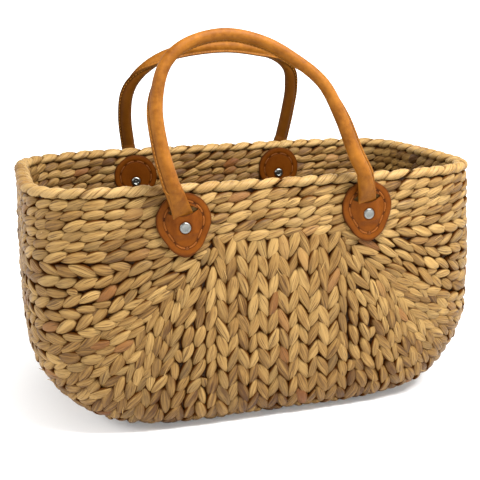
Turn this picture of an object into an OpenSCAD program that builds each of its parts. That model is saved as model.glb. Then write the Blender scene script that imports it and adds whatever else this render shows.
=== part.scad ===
// Woven market basket with two rolled-leather handles.
// Origin at the centre of the underside, +X to the right end, +Y to the back, +Z up, millimetres.

/* [Basket] */
// Width of the body over its ends
body_w = 450; // [430:5:480]
// Depth of the body, front to back
body_d = 270; // [255:5:290]
// Height from the floor to the top of the rim rope
body_h = 236; // [236:1:250]
// Thickness of the woven wall
wall_t = 12; // [9:0.5:13]
// How far the walls swell outward at mid height
swell = 3; // [0:0.5:5]
// Squareness of the plan outline: 2 is an ellipse, 8 is nearly a box
plan_power = 5.2; // [4:0.1:7]
// Width of the large rounding between each end and the base
end_round_w = 98; // [80:1:105]
// Height of that rounding
end_round_h = 94; // [80:1:100]
// Rounding between the front or back and the base
front_round = 28; // [20:1:32]

/* [Rim] */
// Width of the rim rope, across the wall
rim_w = 14; // [12:0.5:15]
// Height of the rim rope
rim_h = 10; // [8:0.5:11]
// Height of one woven row below the rim
row_h = 9.1; // [8.5:0.1:9.5]

/* [Leather fixings] */
// Distance of each rivet from the middle of the basket
rivet_x = 88; // [80:1:95]
// Height of the rivets above the floor
rivet_z = 198; // [194:1:200]
// Thickness of the leather patches
leather_t = 2.5; // [2:0.1:2.8]
// Radius of the wide upper end of a patch
patch_r_top = 25; // [24:0.5:26]
// Radius of the narrow lower end of a patch
patch_r_low = 18.5; // [17:0.5:20]
// Radius of the rivet shank
rivet_r = 2.5; // [2.2:0.1:2.6]
// Radius of the rivet head
head_r = 5; // [4.5:0.1:5.5]

/* [Handles] */
// Radius of the rolled handle where it leaves the basket
leg_r = 8; // [7.5:0.1:8]
// Radius of the rolled handle at the top of its arch
top_r = 7; // [6:0.1:7.5]
// Wall thickness of the leather roll
roll_t = 2; // [1.5:0.1:2.2]
// Inward lean of the resting handles, as a slope
lean = 0.2; // [0.1:0.05:0.3]

/* [Hidden] */

// Attachment places: side is -1 at the front and 1 at the back, end is -1 at the left and 1 at the right
FRONT = -1;
BACK = 1;
LEFT = -1;
RIGHT = 1;

// The five band rows sit between the rim rope and the fan-shaped body panels
band_rows = 5;
band_top = body_h - rim_h;
fan_top = band_top - band_rows * row_h;
ring_sides = 96;
rim_overhang = 1;

// Rows fan out from a pole beside each patch; the rows between the poles run straight down
pole_x = 60;
pole_gap = 4;
side_run = fan_top - end_round_h;
corner_run = PI / 4 * (end_round_w + end_round_h);
base_run = body_w / 2 - end_round_w - pole_x;
fan_run = side_run + corner_run + base_run;
turn_depth = 60;
shortest_reach = 10;
longest_reach = 170;
halvings = 14;
straight_steps = 6;
// Directions of the points round a turn, from the middle of the end to the front, closest at the corner
half_turn = [0, 18, 35, 46, 55, 61, 67, 73, 80, 90];
fan_strips = 6;
middle_strips = 4;

// Leather fixing, measured from the rivet: the lip is the mouth that the strap leaves through
patch_c_top = 6;
patch_c_low = -7.5;
lip_y = 11;
slot_h = 6;
slot_w = 28;
bulge_inset = 9.6;
pocket = [[-7, -7], [7, -7], [10.4, 0], [10.4, lip_y], [-10.4, lip_y], [-10.4, 0]];
tail_t = 2.8;
fit_gap = 0.2;
wall_gap = 0.4;
inner_seat = wall_t + wall_gap + 1;
bore_gap = 0.05;
bore_reach = 30;
cut_reach = 12;
wall_tilt = 2;
stitch_inset = 7;
stitch_count = 10;
stitch_gap = 1;
stitch_r = 0.6;
head_t = 1.2;
head_edge = 0.5;
ring_r = 5.2;
ring_t = 1.6;
ring_edge = 0.8;

// The handles bend at the rim: this is the line they turn about
pivot_y = body_d / 2 + 13;
pivot_z = body_h + 4;
socket_r = leg_r + 1.2;
socket_w = 60;
roll_sides = 10;
core_sides = 8;
thread_sides = 6;
strap_sides = 12;
thread_r = 0.7;
spline_steps = 3;
core_gap = 0.2;

// Centre lines of the resting handles in front view, from the left pivot to the right one: [x, z]
front_arch = [
    [-99, pivot_z], [-108, 270], [-110, 305], [-100, 338], [-78, 357], [-44, 365],
    [-10, 358], [18, 342], [45, 320], [62, 290], [74, 257], [81, pivot_z]
];
back_arch = [
    [-92, pivot_z], [-95, 270], [-92, 299], [-79, 320], [-53, 336], [-20, 345],
    [30, 348], [80, 340], [104, 324], [109, 299], [106, 269], [101, pivot_z]
];

weave_colour = [0.78, 0.64, 0.42];
rim_colour = [0.84, 0.72, 0.50];
patch_colour = [0.66, 0.36, 0.13];
handle_colour = [0.74, 0.46, 0.18];
thread_colour = [0.85, 0.58, 0.30];
cord_colour = [0.80, 0.76, 0.66];
metal_colour = [0.76, 0.76, 0.74];

// ---- Shape of the body ----

// Falls from 1 to 0 along a quarter circle as t goes from 0 to 1
function quarter(t) = 1 - sqrt(1 - (1 - t) * (1 - t));

function rise(z, inset, h) = min(max(z - inset, 0) / (h - inset), 1);

function bow(z) = swell * sin(180 * z / body_h);

function half_w(z, inset) = body_w / 2 - inset + bow(z)
    - (end_round_w - inset) * quarter(rise(z, inset, end_round_h));

function half_d(z, inset) = body_d / 2 - inset + bow(z)
    - (front_round - inset) * quarter(rise(z, inset, front_round));

function inside(p, inset) = p.z >= inset
    && pow(abs(p.x) / half_w(p.z, inset), plan_power)
     + pow(abs(p.y) / half_d(p.z, inset), plan_power) <= 1;

// Half depth of the body at a place in its front view
function front_y(x, z, inset) = half_d(z, inset)
    * pow(max(0, 1 - pow(abs(x) / half_w(z, inset), plan_power)), 1 / plan_power);

function corner_power(v) = sign(v) * pow(abs(v), 2 / plan_power);

// Plan outline of the wall at a height
function plan(z, inset) = [
    for (i = [0 : ring_sides - 1]) let (a = 360 * (i + 0.5) / ring_sides)
        [half_w(z, inset) * corner_power(cos(a)), half_d(z, inset) * corner_power(sin(a))]
];

// ---- Rows of the weave, as curves in the front view ----

// Side outline of the left half from the fan's top (s = 0) down the end and under the base
function outline_turn(s) = min(max((s - side_run) / corner_run, 0), 1);

function outline_point(s) =
    let (z = s < side_run ? fan_top - s : end_round_h * (1 - sin(90 * outline_turn(s))))
        s < side_run + corner_run ? [-half_w(z, 0), z]
                                  : [-half_w(0, 0) + s - side_run - corner_run, 0];

function outline_normal(s) = let (a = 180 + 90 * outline_turn(s)) [cos(a), sin(a)];

// A row is [start, start direction, end, end direction]
function fan_row(s) = let (a = 180 + 90 * s / fan_run, d = [cos(a), sin(a)])
    [[-pole_x, fan_top] + pole_gap * d, d, outline_point(s), outline_normal(s)];

function straight_row(x) = [[x, fan_top], [0, -1], [x, 0], [0, -1]];

function mirrored(row) = [for (v = row) [-v.x, v.y]];

function row_length(row) = norm(row[2] - row[0]);

// Point at distance u past the row's end; before the end it follows a cubic curve
function row_point(row, u) =
    let (l = row_length(row), t = 1 + u / l, p1 = row[0] + row[1] * l / 3, p2 = row[2] - row[3] * l / 3)
        u >= 0 ? row[2] + row[3] * u
               : pow(1 - t, 3) * row[0] + 3 * t * pow(1 - t, 2) * p1
                 + 3 * t * t * (1 - t) * p2 + pow(t, 3) * row[2];

function row_place(row, u, y) = let (p = row_point(row, u)) [p.x, y, p.y];

// Distance from the middle of the turn to the skin, found by halving
function reach(row, a, inset, low, high, steps) =
    let (r = (low + high) / 2)
        steps == 0 ? low
        : inside(row_place(row, r * cos(a) - turn_depth, r * sin(a)), inset)
            ? reach(row, a, inset, r, high, steps - 1)
            : reach(row, a, inset, low, r, steps - 1);

function turn_place(row, a, inset) = let (r = reach(row, a, inset, shortest_reach, longest_reach, halvings))
    row_place(row, r * cos(a) - turn_depth, r * sin(a));

// One row's path over the skin: up to the turn, round the end or base, and back along the other side
function row_path(row, inset) =
    let (run = row_length(row) - turn_depth,
         flat = [for (i = [0 : straight_steps - 1])
                     let (u = -row_length(row) + run * i / straight_steps, p = row_point(row, u))
                         [p.x, -front_y(p.x, p.y, inset), p.y]],
         last = len(half_turn) - 1,
         turn = concat([for (i = [last : -1 : 0]) turn_place(row, -half_turn[i], inset)],
                       [for (i = [1 : last]) turn_place(row, half_turn[i], inset)]))
        concat(flat, turn, [for (i = [straight_steps - 1 : -1 : 0]) [flat[i].x, -flat[i].y, flat[i].z]]);

// ---- Solids from grids of points ----

// Faces of a closed surface whose rings all have n points. The last strip is split along its other
// diagonal, so that two solids that meet along a twisted strip fit exactly.
function quad(a, b, c, d) = [[a, c, b], [a, d, c]];

function strip_quad(a, b, c, d, last) = last ? quad(b, c, d, a) : quad(a, b, c, d);

function side_faces(rings, n) = [
    for (i = [0 : rings - 2], j = [0 : n - 1]) let (k = (j + 1) % n)
        each strip_quad(i * n + j, (i + 1) * n + j, (i + 1) * n + k, i * n + k, k == 0)
];

module loft(rings) {
    n = len(rings[0]);
    m = len(rings);
    polyhedron(
        points = [for (r = rings) each r],
        faces = concat(side_faces(m, n), [[for (j = [n - 1 : -1 : 0]) j]],
                       [[for (j = [0 : n - 1]) (m - 1) * n + j]])
    );
}

// A closed loop of rings, such as a rope round the rim or a hollow tube
module loft_loop(rings) {
    n = len(rings[0]);
    m = len(rings);
    polyhedron(
        points = [for (r = rings) each r],
        faces = concat(side_faces(m, n),
                       [for (j = [0 : n - 1]) let (k = (j + 1) % n)
                            each quad((m - 1) * n + j, j, k, (m - 1) * n + k)])
    );
}

// ---- Woven body ----

module rim_rope() {
    centre = plan(body_h, rim_w / 2 - rim_overhang);
    color(rim_colour) loft_loop([
        for (i = [0 : ring_sides - 1])
            let (next = centre[(i + 1) % ring_sides], last = centre[(i + ring_sides - 1) % ring_sides],
                 along = (next - last) / norm(next - last), out = [along.y, -along.x])
                [for (j = [0 : roll_sides - 1]) let (a = 360 * (j + 0.5) / roll_sides)
                    [centre[i].x + out.x * rim_w / 2 * cos(a), centre[i].y + out.y * rim_w / 2 * cos(a),
                     body_h - rim_h / 2 + rim_h / 2 * sin(a)]]
    ]);
}

// Row 1 is the highest band row; rows 3 and 4 meet at the rivets
module band_row(number) {
    z = band_top - number * row_h;
    n = ring_sides;
    color(weave_colour) difference() {
        translate([0, 0, z]) linear_extrude(row_h) polygon(
            concat(plan(z + row_h / 2, 0), plan(z + row_h / 2, wall_t)),
            paths = [[for (i = [0 : n - 1]) i], [for (i = [n : 2 * n - 1]) i]]
        );
        if (number == 3 || number == 4)
            for (side = [FRONT, BACK], end = [LEFT, RIGHT]) at_rivet(side, end) rivet_bore();
    }
}

// Cutting this away removes nothing, and joins the flat pieces of the underside into one face
module under_floor() {
    translate([-body_w, -body_w, -2]) cube([2 * body_w, 2 * body_w, 1]);
}

// The part of the fan between two rows, as one solid with an outer and an inner skin
module fan_panel(rows) {
    outer = [for (row = rows) row_path(row, 0)];
    inner = [for (row = rows) row_path(row, wall_t)];
    stations = len(outer[0]);
    last = len(rows) - 1;
    color(weave_colour) difference() {
        loft([for (k = [0 : stations - 1])
                 concat([for (i = [0 : last]) outer[i][k]], [for (i = [last : -1 : 0]) inner[i][k]])]);
        under_floor();
    }
}

// The panel in the middle is straight from side to side
module middle_panel(half) {
    outer = row_path(straight_row(0), 0);
    inner = row_path(straight_row(0), wall_t);
    last = len(inner) - 1;
    color(weave_colour) difference() {
        rotate([90, 0, 90]) translate([0, 0, -half]) linear_extrude(2 * half)
            polygon(concat([for (p = outer) [p.y, p.z]], [for (i = [last : -1 : 0]) [inner[i].y, inner[i].z]]));
        under_floor();
    }
}

function steps(from, to, n) = [for (i = [0 : n]) from + (to - from) * i / n];

// Rows of one panel of the left fan, as shares of the fan's outline, and the same on the right
function fan_rows(from, to) = [for (share = steps(from, to, fan_strips)) fan_row(fan_run * share)];

function mirrored_rows(rows) = [for (i = [len(rows) - 1 : -1 : 0]) mirrored(rows[i])];

function straight_rows(from, to) = [for (x = steps(from, to, middle_strips)) straight_row(x)];

// ---- Leather fixings: local x along the wall, y up, z outward from the wall's skin ----

module at_rivet(side, end) {
    translate([end * rivet_x, side * (front_y(rivet_x, rivet_z, 0) + wall_gap), rivet_z])
        rotate([90 - wall_tilt, 0, side == FRONT ? 0 : 180]) children();
}

module rivet_bore() {
    cylinder(h = 2 * bore_reach, r = rivet_r + bore_gap, center = true, $fn = 48);
}

// Egg shape of a patch: two arcs and the straight flanks between them
function egg(inset) =
    let (a = asin((patch_r_top - patch_r_low) / (patch_c_top - patch_c_low)), top = 28, low = 12)
        concat([for (i = [0 : top]) let (t = -a + (180 + 2 * a) * i / top)
                    [(patch_r_top - inset) * cos(t), patch_c_top + (patch_r_top - inset) * sin(t)]],
               [for (i = [0 : low]) let (t = 180 + a + (180 - 2 * a) * i / low)
                    [(patch_r_low - inset) * cos(t), patch_c_low + (patch_r_low - inset) * sin(t)]]);

module outer_patch(side, end) {
    color(patch_colour) at_rivet(side, end) difference() {
        union() {
            linear_extrude(leather_t) polygon(egg(0));
            // The leather is raised where it covers the strap's tail, up to the lip
            intersection() {
                linear_extrude(leather_t + tail_t + fit_gap) polygon(egg(bulge_inset));
                translate([-patch_r_top, -patch_r_top, 0])
                    cube([2 * patch_r_top, patch_r_top + lip_y, cut_reach]);
            }
        }
        translate([0, 0, -1]) linear_extrude(tail_t + fit_gap + 1) polygon(pocket);
        translate([-slot_w / 2, lip_y - 0.01, -1]) cube([slot_w, slot_h, cut_reach]);
        rivet_bore();
    }
}

module inner_patch(side, end) {
    color(patch_colour) at_rivet(side, end) difference() {
        translate([0, 0, -inner_seat - leather_t]) linear_extrude(leather_t) polygon(egg(0));
        rivet_bore();
    }
}

// The flat tail of the strap behind the patch, its way out through the slot and its thick neck at the rim.
// Each station is [height, distance from the wall, half thickness, half width].
strap_stations = [
    [-6, 1.5, 1.2, 6], [-2, 1.5, 1.3, 8.5], [7, 1.5, 1.3, 9.8], [11, 1.6, 1.3, 9.6],
    [17, 5.1, 1.9, 9.3], [24, 7.6, 2.5, 8.9], [31, 9.4, 2.8, 8.5], [38, 10.6, 2.9, 8.1]
];

// Above the patch's covered part the strap leans sideways to meet the foot of its handle
lean_start = 10;

function strap_shift(y, shift) = shift * max(0, y - lean_start) / (pivot_z - rivet_z - lean_start);

function strap_ring(s, shift) = [
    for (j = [0 : strap_sides - 1]) let (a = 360 * (j + 0.5) / strap_sides)
        [shift + s[3] * cos(a), s[0], s[1] + s[2] * sin(a) / cos(180 / strap_sides)]
];

module strap_end(side, end, arch) {
    foot = end == LEFT ? arch[0] : arch[len(arch) - 1];
    shift = (foot.x - end * rivet_x) * -side;
    color(handle_colour) difference() {
        at_rivet(side, end) difference() {
            loft([for (s = strap_stations) strap_ring(s, strap_shift(s[0], shift))]);
            rivet_bore();
        }
        translate([foot.x, side * pivot_y, pivot_z]) rotate([0, 90, 0])
            cylinder(h = socket_w, r = socket_r, center = true, $fn = 64);
    }
}

// Place at distance d along a closed outline
function outline_at(path, d, i = 0) =
    let (a = path[i], b = path[(i + 1) % len(path)], l = norm(b - a))
        d <= l || i == len(path) - 1 ? a + (b - a) * d / l : outline_at(path, d - l, i + 1);

function outline_length(path, i = 0) =
    i == len(path) ? 0 : norm(path[(i + 1) % len(path)] - path[i]) + outline_length(path, i + 1);

// Long stitches that hold the two patches together, one set on each patch
module stitching(side, end) {
    path = egg(stitch_inset);
    pitch = outline_length(path) / stitch_count;
    inner_face = -inner_seat - leather_t;
    color(thread_colour) at_rivet(side, end)
        for (i = [0 : stitch_count - 1], z = [leather_t + stitch_r, inner_face - stitch_r])
            let (a = outline_at(path, pitch * i + stitch_gap),
                 b = outline_at(path, pitch * (i + 1) - stitch_gap))
                translate([a.x, a.y, z]) rotate([0, 0, atan2(b.y - a.y, b.x - a.x)]) rotate([0, 90, 0])
                    cylinder(h = norm(b - a), r = stitch_r, $fn = 24);
}

module rivet(side, end) {
    face = leather_t + tail_t + fit_gap;
    back = inner_seat + leather_t + ring_t;
    color(metal_colour) at_rivet(side, end) rotate_extrude($fn = 64) polygon(concat(
        [[0, -back], [rivet_r, -back], [rivet_r, face], [head_r, face], [head_r, face + head_edge]],
        [for (a = [15 : 15 : 75]) [head_r * cos(a), face + head_edge + head_t * sin(a)]],
        [[0, face + head_edge + head_t]]
    ));
}

module rivet_ring(side, end) {
    seat = -inner_seat - leather_t;
    color(metal_colour) at_rivet(side, end) rotate_extrude($fn = 64) polygon([
        [rivet_r + bore_gap, seat], [ring_r, seat], [ring_r, seat - ring_t + ring_edge],
        [ring_r - ring_edge, seat - ring_t], [rivet_r + bore_gap, seat - ring_t]
    ]);
}

// ---- Handles ----

// Smooth curve through the arch points, with the first and last points repeated as its end guides
function arch_guide(p, i) = p[min(max(i, 0), len(p) - 1)];

function arch_between(p, i, t) =
    let (a = arch_guide(p, i - 1), b = p[i], c = p[i + 1], d = arch_guide(p, i + 2))
        b + (c - a) * t / 2 + (2 * a - 5 * b + 4 * c - d) * t * t / 2
          + (3 * b - a - 3 * c + d) * t * t * t / 2;

function arch_curve(p) = concat(
    [for (i = [0 : len(p) - 2], j = [0 : spline_steps - 1]) arch_between(p, i, j / spline_steps)],
    [p[len(p) - 1]]
);

function arch_place(q, side) = [q.x, side * (pivot_y - lean * (q.y - pivot_z)), q.y];

// The handle's own frame at each ring: the point, its direction and the direction out of the arch
function frames(arch, side) = let (c = [for (q = arch_curve(arch)) arch_place(q, side)], n = len(c))
    [for (i = [0 : n - 1])
        let (d = c[min(i + 1, n - 1)] - c[max(i - 1, 0)], along = d / norm(d),
             flat = [0, 1, side * lean], across = cross(along, flat / norm(flat)))
            [c[i], along, across / norm(across)]];

function ring(centre, along, across, r, sides) = let (up = cross(across, along))
    [for (j = [0 : sides - 1]) let (a = 360 * (j + 0.5) / sides)
        centre + r * (across * cos(a) + up * sin(a))];

function handle_r(i, n) = let (t = sin(180 * i / (n - 1))) leg_r + (top_r - leg_r) * t;

// Angles of the rings that round the roll's ends off about the pivots
end_angles = [50, 25];

function end_ring(e, way, a) =
    ring(e[0] + e[1] * way * leg_r * sin(a), e[1], e[2], leg_r * cos(a), roll_sides);

function roll_rings(f) = let (n = len(f)) concat(
    [for (a = end_angles) end_ring(f[0], -1, a)],
    [for (i = [0 : n - 1]) ring(f[i][0], f[i][1], f[i][2], handle_r(i, n), roll_sides)],
    [for (k = [len(end_angles) - 1 : -1 : 0]) end_ring(f[n - 1], 1, end_angles[k])]
);

// The leather roll: a hollow tube, open where the cord inside it ends
module handle_roll(arch, side) {
    f = frames(arch, side);
    outside = roll_rings(f);
    hollow = [for (r = f) ring(r[0], r[1], r[2], top_r - roll_t, roll_sides)];
    n = len(hollow);
    past = leg_r * sin(end_angles[0]) - core_gap;
    start = ring(f[0][0] - f[0][1] * past, f[0][1], f[0][2], top_r - roll_t, roll_sides);
    finish = ring(f[n - 1][0] + f[n - 1][1] * past, f[n - 1][1], f[n - 1][2], top_r - roll_t, roll_sides);
    color(handle_colour)
        loft_loop(concat(outside, [finish], [for (i = [n - 1 : -1 : 0]) hollow[i]], [start]));
}

module handle_core(arch, side) {
    f = frames(arch, side);
    core_r = (top_r - roll_t) * cos(180 / roll_sides) - core_gap;
    color(cord_colour) loft([for (r = f) ring(r[0], r[1], r[2], core_r, core_sides)]);
}

// Seam thread along the outer side of the roll
module handle_thread(arch, side) {
    f = frames(arch, side);
    n = len(f);
    color(thread_colour) loft([
        for (i = [1 : n - 2])
            let (out = handle_r(i, n) * cos(180 / roll_sides) + thread_r)
                ring(f[i][0] + f[i][2] * out, f[i][1], f[i][2], thread_r, thread_sides)
    ]);
}

// ---- Nodes ----

rim_rope();
band_row(1);  // band_row_1
band_row(2);  // band_row_2
band_row(3);  // band_row_3
band_row(4);  // band_row_4
band_row(5);  // band_row_5
fan_panel(fan_rows(0, 1 / 3));  // left_end_upper
fan_panel(fan_rows(1 / 3, 2 / 3));  // left_end_corner
fan_panel(fan_rows(2 / 3, 1));  // left_base
fan_panel(straight_rows(-pole_x, -pole_x / 3));  // middle_left
middle_panel(pole_x / 3);  // middle_centre
fan_panel(straight_rows(pole_x / 3, pole_x));  // middle_right
fan_panel(mirrored_rows(fan_rows(2 / 3, 1)));  // right_base
fan_panel(mirrored_rows(fan_rows(1 / 3, 2 / 3)));  // right_end_corner
fan_panel(mirrored_rows(fan_rows(0, 1 / 3)));  // right_end_upper
outer_patch(FRONT, LEFT);  // outer_patch_front_left
outer_patch(FRONT, RIGHT);  // outer_patch_front_right
outer_patch(BACK, LEFT);  // outer_patch_back_left
outer_patch(BACK, RIGHT);  // outer_patch_back_right
inner_patch(FRONT, LEFT);  // inner_patch_front_left
inner_patch(FRONT, RIGHT);  // inner_patch_front_right
inner_patch(BACK, LEFT);  // inner_patch_back_left
inner_patch(BACK, RIGHT);  // inner_patch_back_right
strap_end(FRONT, LEFT, front_arch);  // strap_end_front_left
strap_end(FRONT, RIGHT, front_arch);  // strap_end_front_right
strap_end(BACK, LEFT, back_arch);  // strap_end_back_left
strap_end(BACK, RIGHT, back_arch);  // strap_end_back_right
stitching(FRONT, LEFT);  // stitching_front_left
stitching(FRONT, RIGHT);  // stitching_front_right
stitching(BACK, LEFT);  // stitching_back_left
stitching(BACK, RIGHT);  // stitching_back_right
rivet(FRONT, LEFT);  // rivet_front_left
rivet(FRONT, RIGHT);  // rivet_front_right
rivet(BACK, LEFT);  // rivet_back_left
rivet(BACK, RIGHT);  // rivet_back_right
rivet_ring(FRONT, LEFT);  // rivet_ring_front_left
rivet_ring(FRONT, RIGHT);  // rivet_ring_front_right
rivet_ring(BACK, LEFT);  // rivet_ring_back_left
rivet_ring(BACK, RIGHT);  // rivet_ring_back_right
handle_roll(front_arch, FRONT);  // handle_roll_front
handle_core(front_arch, FRONT);  // handle_core_front
handle_thread(front_arch, FRONT);  // handle_thread_front
handle_roll(back_arch, BACK);  // handle_roll_back
handle_core(back_arch, BACK);  // handle_core_back
handle_thread(back_arch, BACK);  // handle_thread_back
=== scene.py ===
import math

import bpy
import numpy as np
from mathutils import Matrix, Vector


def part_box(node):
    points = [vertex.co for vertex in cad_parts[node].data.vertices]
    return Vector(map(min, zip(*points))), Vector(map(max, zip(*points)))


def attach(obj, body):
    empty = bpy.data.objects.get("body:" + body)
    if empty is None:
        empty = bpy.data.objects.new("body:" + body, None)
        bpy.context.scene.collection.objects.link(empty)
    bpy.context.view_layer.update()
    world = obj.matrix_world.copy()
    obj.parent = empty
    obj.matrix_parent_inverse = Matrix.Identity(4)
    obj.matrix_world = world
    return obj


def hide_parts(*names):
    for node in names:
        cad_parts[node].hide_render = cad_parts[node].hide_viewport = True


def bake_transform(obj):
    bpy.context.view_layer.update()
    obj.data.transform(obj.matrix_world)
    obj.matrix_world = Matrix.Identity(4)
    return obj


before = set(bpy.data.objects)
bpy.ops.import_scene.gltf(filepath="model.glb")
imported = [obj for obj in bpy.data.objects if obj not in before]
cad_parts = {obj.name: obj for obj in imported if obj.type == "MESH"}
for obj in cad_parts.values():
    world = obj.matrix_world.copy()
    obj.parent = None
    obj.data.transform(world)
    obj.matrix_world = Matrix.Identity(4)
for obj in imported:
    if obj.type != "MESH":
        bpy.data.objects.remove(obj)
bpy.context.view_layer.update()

MM = 0.001
ENDS = {"left": -1, "right": 1}
SIDES = {"front": -1, "back": 1}


def box_mm(node):
    lo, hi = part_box(node)
    return np.array(lo) * 1000, np.array(hi) * 1000


# ---- Sizes of the frame, in millimetres, as the CAD states them ----

BODY_W, BODY_D = 450.0, 270.0
BODY_H = box_mm("rim_rope")[1][2]
WALL = 12.0
SWELL = 3.0
POWER = 5.2  # of the superellipse that is the body's outline
END_W, END_H, FRONT_R = 98.0, 94.0, 28.0
ROW_H = 9.1
BAND_TOP = box_mm("rim_rope")[0][2]
FAN_TOP = box_mm("middle_centre")[1][2]
RIVET_X = float(np.mean([box_mm("rivet_front_right")[k][0] for k in (0, 1)]))
RIVET_Z = 198.0
PIVOT_Y = 148.0
PIVOT_Z = 240.0
LEAN = 0.2  # of the resting handles, inward for each millimetre up
POLE_X = box_mm("middle_right")[1][0]
POLE_GAP = 4.0  # radius round the pole at which the fan rows begin
TURN_DEPTH = 60.0  # how far before the outline a row starts to turn to the back
BAND_ROWS = 5
FAN_ROWS = 28
MIDDLE_ROWS = 12


def smooth(x):
    x = np.clip(x, 0, 1)
    return x * x * (3 - 2 * x)


def unit(v):
    return v / np.maximum(np.linalg.norm(v, axis=-1, keepdims=True), 1e-9)


def near(value, spread, r):
    """The value, up to half the spread more or less, for r from 0 to 1."""
    return value + spread * (r - 0.5)


def bell(x, centre, width):
    return np.exp(-(((x - centre) / width) ** 2))


def arc_length(p):
    return np.concatenate([[0], np.cumsum(np.linalg.norm(np.diff(p, axis=0), axis=1))])


def sample(d, arc, data):
    """Rows of data, given along arc, at the places d."""
    return np.stack([np.interp(d, arc, data[:, k]) for k in range(data.shape[1])], -1)


def farthest(fits, low, high, rounds=30):
    """The largest distances that fit, found by halving."""
    for _ in range(rounds):
        r = (low + high) / 2
        ok = fits(r)
        low, high = np.where(ok, r, low), np.where(ok, high, r)
    return low


# ---- Shape of the body ----


def quarter(t):
    return 1 - np.sqrt(np.maximum(0, 1 - (1 - t) ** 2))


def rise(z, h):
    return np.clip(z / h, 0, 1)


def bow(z):
    return SWELL * np.sin(np.pi * np.clip(z, 0, BODY_H) / BODY_H)


def half_w(z):
    return BODY_W / 2 + bow(z) - END_W * quarter(rise(z, END_H))


def half_d(z):
    return BODY_D / 2 + bow(z) - FRONT_R * quarter(rise(z, FRONT_R))


def inside(x, y, z):
    return (z >= 0) & ((np.abs(x) / half_w(z)) ** POWER + (np.abs(y) / half_d(z)) ** POWER <= 1)


def front_y(x, z):
    return half_d(z) * np.maximum(0, 1 - (np.abs(x) / half_w(z)) ** POWER) ** (1 / POWER)


def outline(a, z, inset):
    """The body's level outline at the height z, pulled in by the inset, at the angles a."""
    level = np.full_like(a, z)
    c, s = np.cos(a), np.sin(a)
    x = (half_w(level) - inset) * np.sign(c) * np.abs(c) ** (2 / POWER)
    y = (half_d(level) - inset) * np.sign(s) * np.abs(s) ** (2 / POWER)
    return np.stack([x, y, level], 1)


def skin_normal(p):
    x, y, z = p[:, 0], p[:, 1], np.maximum(p[:, 2], 0.05)
    w, d, e = half_w(z), half_d(z), 0.04
    dw, dd = (half_w(z + e) - half_w(z - e)) / (2 * e), (half_d(z + e) - half_d(z - e)) / (2 * e)
    ax, ay = np.abs(x) / w, np.abs(y) / d
    n = np.stack([
        ax ** (POWER - 1) / w * np.sign(x),
        ay ** (POWER - 1) / d * np.sign(y),
        -(ax**POWER / w * dw + ay**POWER / d * dd),
    ], 1)
    n[p[:, 2] < 0.3] = (0, 0, -1)
    return unit(n)


# ---- Rows that fan out from a pole beside each patch, in the front view ----

SIDE_RUN = FAN_TOP - END_H
CORNER_RUN = math.pi / 4 * (END_W + END_H)
FAN_RUN = SIDE_RUN + CORNER_RUN + BODY_W / 2 - END_W - POLE_X


def fan_surface(q, t):
    """Front view of the left fan: q from its top row to its vertical row, t from the pole to the outline."""
    s = FAN_RUN * q
    turn = np.clip((s - SIDE_RUN) / CORNER_RUN, 0, 1)
    z3 = np.where(s < SIDE_RUN, FAN_TOP - s, END_H * (1 - np.sin(np.pi / 2 * turn)))
    under = -half_w(np.zeros_like(s)) + s - SIDE_RUN - CORNER_RUN
    x3 = np.where(s < SIDE_RUN + CORNER_RUN, -half_w(z3), under)
    a0, a3 = np.pi + np.pi / 2 * q, np.pi + np.pi / 2 * turn
    x0, z0 = -POLE_X + POLE_GAP * np.cos(a0), FAN_TOP + POLE_GAP * np.sin(a0)
    reach = np.hypot(x3 - x0, z3 - z0) / 3
    x1, z1 = x0 + np.cos(a0) * reach, z0 + np.sin(a0) * reach
    x2, z2 = x3 - np.cos(a3) * reach, z3 - np.sin(a3) * reach
    b = [(1 - t) ** 3, 3 * t * (1 - t) ** 2, 3 * t * t * (1 - t), t**3]
    return b[0] * x0 + b[1] * x1 + b[2] * x2 + b[3] * x3, b[0] * z0 + b[1] * z1 + b[2] * z2 + b[3] * z3


def fan_layout():
    """Where each row of the fan runs, and how wide it is: rows start one after another as the fan widens."""
    t = np.linspace(0, 1, 161)
    q = np.linspace(0, 1, 81)
    x, z = fan_surface(q[None, :], t[:, None])
    spread = np.hypot(np.diff(x, axis=1), np.diff(z, axis=1)).sum(1)
    count = FAN_ROWS * 1.09 * (spread / spread[-1]) ** 0.85
    # reversing the bits of a row's number spreads the early rows evenly over the fan
    rank = np.array(sorted(range(FAN_ROWS), key=lambda k: int(f"{k:05b}"[::-1], 2)), float)
    # the vertical row along the middle panel starts early too
    rank[-1] = 0.5
    rank = np.argsort(np.argsort(rank)).astype(float)
    weight = smooth((count[:, None] - rank[None, :] + 3) / 8)
    total = weight.sum(1, keepdims=True)
    return t, (np.cumsum(weight, 1) - weight / 2) / total, weight * spread[:, None] / total


def side_to_side(x, z, extra):
    """A row's path over the skin from its front-view points: up to the turn, round it, and back behind."""
    u = np.concatenate([[0], np.cumsum(np.hypot(np.diff(x), np.diff(z)))])
    u -= u[-1]
    at = lambda v, data: np.interp(v, u, data)
    flat = u[u < -TURN_DEPTH]
    angle = np.radians(np.linspace(-90, 0, 46))

    def fits(r):
        v = r * np.cos(angle) - TURN_DEPTH
        past = np.maximum(v, 0)
        # past the outline the row heads on sideways and steeply down, out of the body
        return inside(at(v, x) + past * (x[-1] - x[-2]) / 0.5, r * np.sin(angle), at(v, z) - past * 50)

    r = farthest(fits, np.full_like(angle, 5.0), np.full_like(angle, 175.0), 24)
    v = r * np.cos(angle) - TURN_DEPTH
    front = np.stack([
        np.concatenate([at(flat, x), at(v, x)]),
        np.concatenate([-front_y(at(flat, x), at(flat, z)), r * np.sin(angle)]),
        np.concatenate([at(flat, z), at(v, z)]),
    ], 1)
    e = np.concatenate([at(flat, extra), at(v, extra)])
    return np.concatenate([front, front[-2::-1] * (1, -1, 1)]), np.concatenate([e, e[-2::-1]])


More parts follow.
